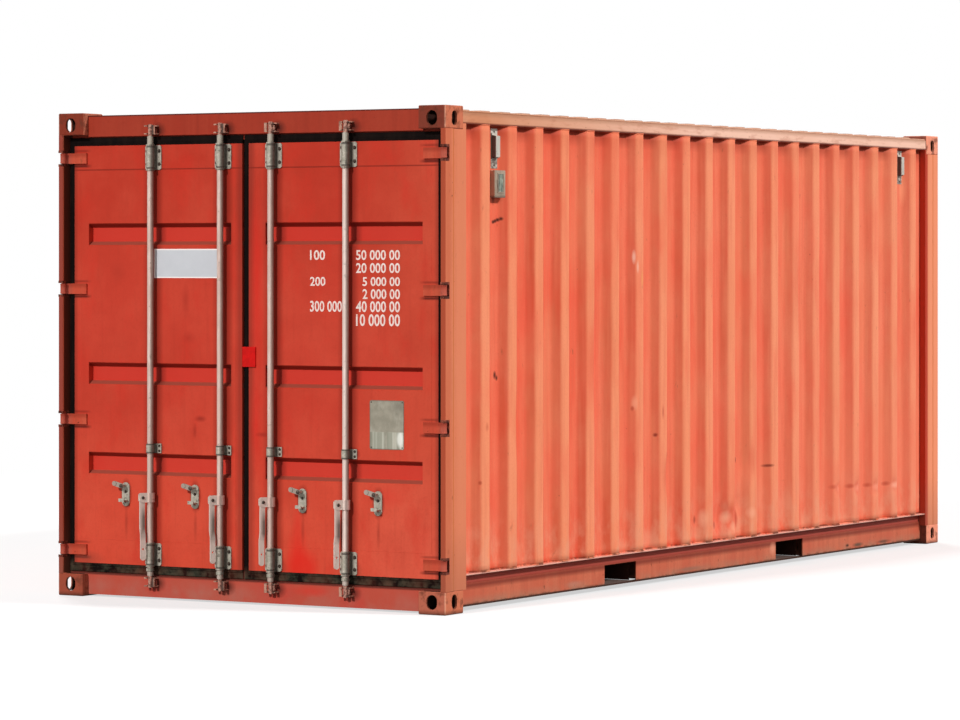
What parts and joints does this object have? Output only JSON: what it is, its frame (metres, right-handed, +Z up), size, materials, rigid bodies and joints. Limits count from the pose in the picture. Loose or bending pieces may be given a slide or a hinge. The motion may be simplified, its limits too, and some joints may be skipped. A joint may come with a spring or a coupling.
{
  "type": "shipping container",
  "caption": "Steel freight container with corrugated sides, hinged end doors, turning lock rods with hanging handles, hollow corner castings and fork pockets.",
  "frame": {"origin": "centre of the base, in the plane of the bottom corner castings' undersides", "axes": "+X along the length towards the blind end, so the doors face -X; +Y to the left of a person facing the doors; +Z up"},
  "size_m": [6.1018, 2.438, 2.591],
  "materials": {
    "container_paint": "sun-faded coral paint",
    "door_paint": "satin red-orange paint",
    "overlap_paint": "bright red paint",
    "galvanised_steel": "weathered zinc",
    "seal_rubber": "matte black rubber",
    "plywood": "worn floor plywood"
  },
  "bodies": {
    "container": {"top_corner_castings": "container_paint", "bottom_corner_castings": "container_paint", "door_end_posts": "container_paint", "hinge_lugs": "container_paint", "door_header": "door_paint", "door_sill": "door_paint", "blind_end_posts": "container_paint", "blind_end_top_rail": "container_paint", "blind_end_bottom_rail": "container_paint", "blind_end_wall": "container_paint", "left_side_wall": "container_paint", "right_side_wall": "container_paint", "top_side_rails": "container_paint", "bottom_side_rails": "container_paint", "fork_pocket_tunnels": "container_paint", "cross_members": "container_paint", "plywood_floor": "plywood", "roof_panel": "container_paint", "roof_corner_plates": "container_paint", "ventilators": "container_paint", "tag_box": "galvanised_steel", "cam_keepers": "galvanised_steel"},
    "left_door": {"left_door_frame": "door_paint", "left_door_panel": "door_paint", "left_door_seal": "seal_rubber", "left_hinge_blades": "door_paint", "left_rod_brackets": "galvanised_steel", "left_handle_retainers": "galvanised_steel"},
    "right_door": {"right_door_frame": "door_paint", "right_door_panel": "door_paint", "right_door_seal": "seal_rubber", "right_hinge_blades": "door_paint", "right_rod_brackets": "galvanised_steel", "right_handle_retainers": "galvanised_steel", "door_overlap_plate": "overlap_paint"},
    "left_outer_rod": {"left_outer_lock_rod": "galvanised_steel"},
    "left_outer_lever": {"left_outer_handle": "galvanised_steel"},
    "left_outer_latch": {"left_outer_catch": "galvanised_steel"},
    "left_inner_rod": {"left_inner_lock_rod": "galvanised_steel"},
    "left_inner_lever": {"left_inner_handle": "galvanised_steel"},
    "left_inner_latch": {"left_inner_catch": "galvanised_steel"},
    "right_inner_rod": {"right_inner_lock_rod": "galvanised_steel"},
    "right_inner_lever": {"right_inner_handle": "galvanised_steel"},
    "right_inner_latch": {"right_inner_catch": "galvanised_steel"},
    "right_outer_rod": {"right_outer_lock_rod": "galvanised_steel"},
    "right_outer_lever": {"right_outer_handle": "galvanised_steel"},
    "right_outer_latch": {"right_outer_catch": "galvanised_steel"}
  },
  "joints": [
    {"name": "left_door_hinge", "type": "hinge", "parent": "container", "child": "left_door", "pos_m": [-3.011, 1.199, 0], "axis": [0, 0, -1], "range_deg": [0, 258]},
    {"name": "right_door_hinge", "type": "hinge", "parent": "container", "child": "right_door", "pos_m": [-3.011, -1.199, 0], "axis": [0, 0, 1], "range_deg": [0, 258]},
    {"name": "left_outer_rod_turn", "type": "hinge", "parent": "left_door", "child": "left_outer_rod", "pos_m": [-3.011, 0.6255, 0], "axis": [0, 0, -1], "range_deg": [-60, 60]},
    {"name": "left_outer_handle_lift", "type": "hinge", "parent": "left_outer_rod", "child": "left_outer_lever", "pos_m": [-3.05257, 0.6495, 0.542], "axis": [0.5, 0.866, 0], "range_deg": [0, 90]},
    {"name": "left_outer_catch_turn", "type": "hinge", "parent": "left_door", "child": "left_outer_latch", "pos_m": [-3.021, 0.8055, 0.599], "axis": [-1, 0, 0], "range_deg": [0, 105]},
    {"name": "left_inner_rod_turn", "type": "hinge", "parent": "left_door", "child": "left_inner_rod", "pos_m": [-3.011, 0.1768, 0], "axis": [0, 0, -1], "range_deg": [-60, 60]},
    {"name": "left_inner_handle_lift", "type": "hinge", "parent": "left_inner_rod", "child": "left_inner_lever", "pos_m": [-3.05257, 0.2008, 0.542], "axis": [0.5, 0.866, 0], "range_deg": [0, 90]},
    {"name": "left_inner_catch_turn", "type": "hinge", "parent": "left_door", "child": "left_inner_latch", "pos_m": [-3.021, 0.3568, 0.599], "axis": [-1, 0, 0], "range_deg": [0, 105]},
    {"name": "right_inner_rod_turn", "type": "hinge", "parent": "right_door", "child": "right_inner_rod", "pos_m": [-3.011, -0.1421, 0], "axis": [0, 0, 1], "range_deg": [0, 120]},
    {"name": "right_inner_handle_lift", "type": "hinge", "parent": "right_inner_rod", "child": "right_inner_lever", "pos_m": [-3.05257, -0.1181, 0.542], "axis": [0.5, 0.866, 0], "range_deg": [0, 90]},
    {"name": "right_inner_catch_turn", "type": "hinge", "parent": "right_door", "child": "right_inner_latch", "pos_m": [-3.021, -0.3221, 0.599], "axis": [-1, 0, 0], "range_deg": [0, 105]},
    {"name": "right_outer_rod_turn", "type": "hinge", "parent": "right_door", "child": "right_outer_rod", "pos_m": [-3.011, -0.6064, 0], "axis": [0, 0, 1], "range_deg": [0, 120]},
    {"name": "right_outer_handle_lift", "type": "hinge", "parent": "right_outer_rod", "child": "right_outer_lever", "pos_m": [-3.05257, -0.5824, 0.542], "axis": [0.5, 0.866, 0], "range_deg": [0, 90]},
    {"name": "right_outer_catch_turn", "type": "hinge", "parent": "right_door", "child": "right_outer_latch", "pos_m": [-3.021, -0.7864, 0.599], "axis": [-1, 0, 0], "range_deg": [0, 105]}
  ]
}
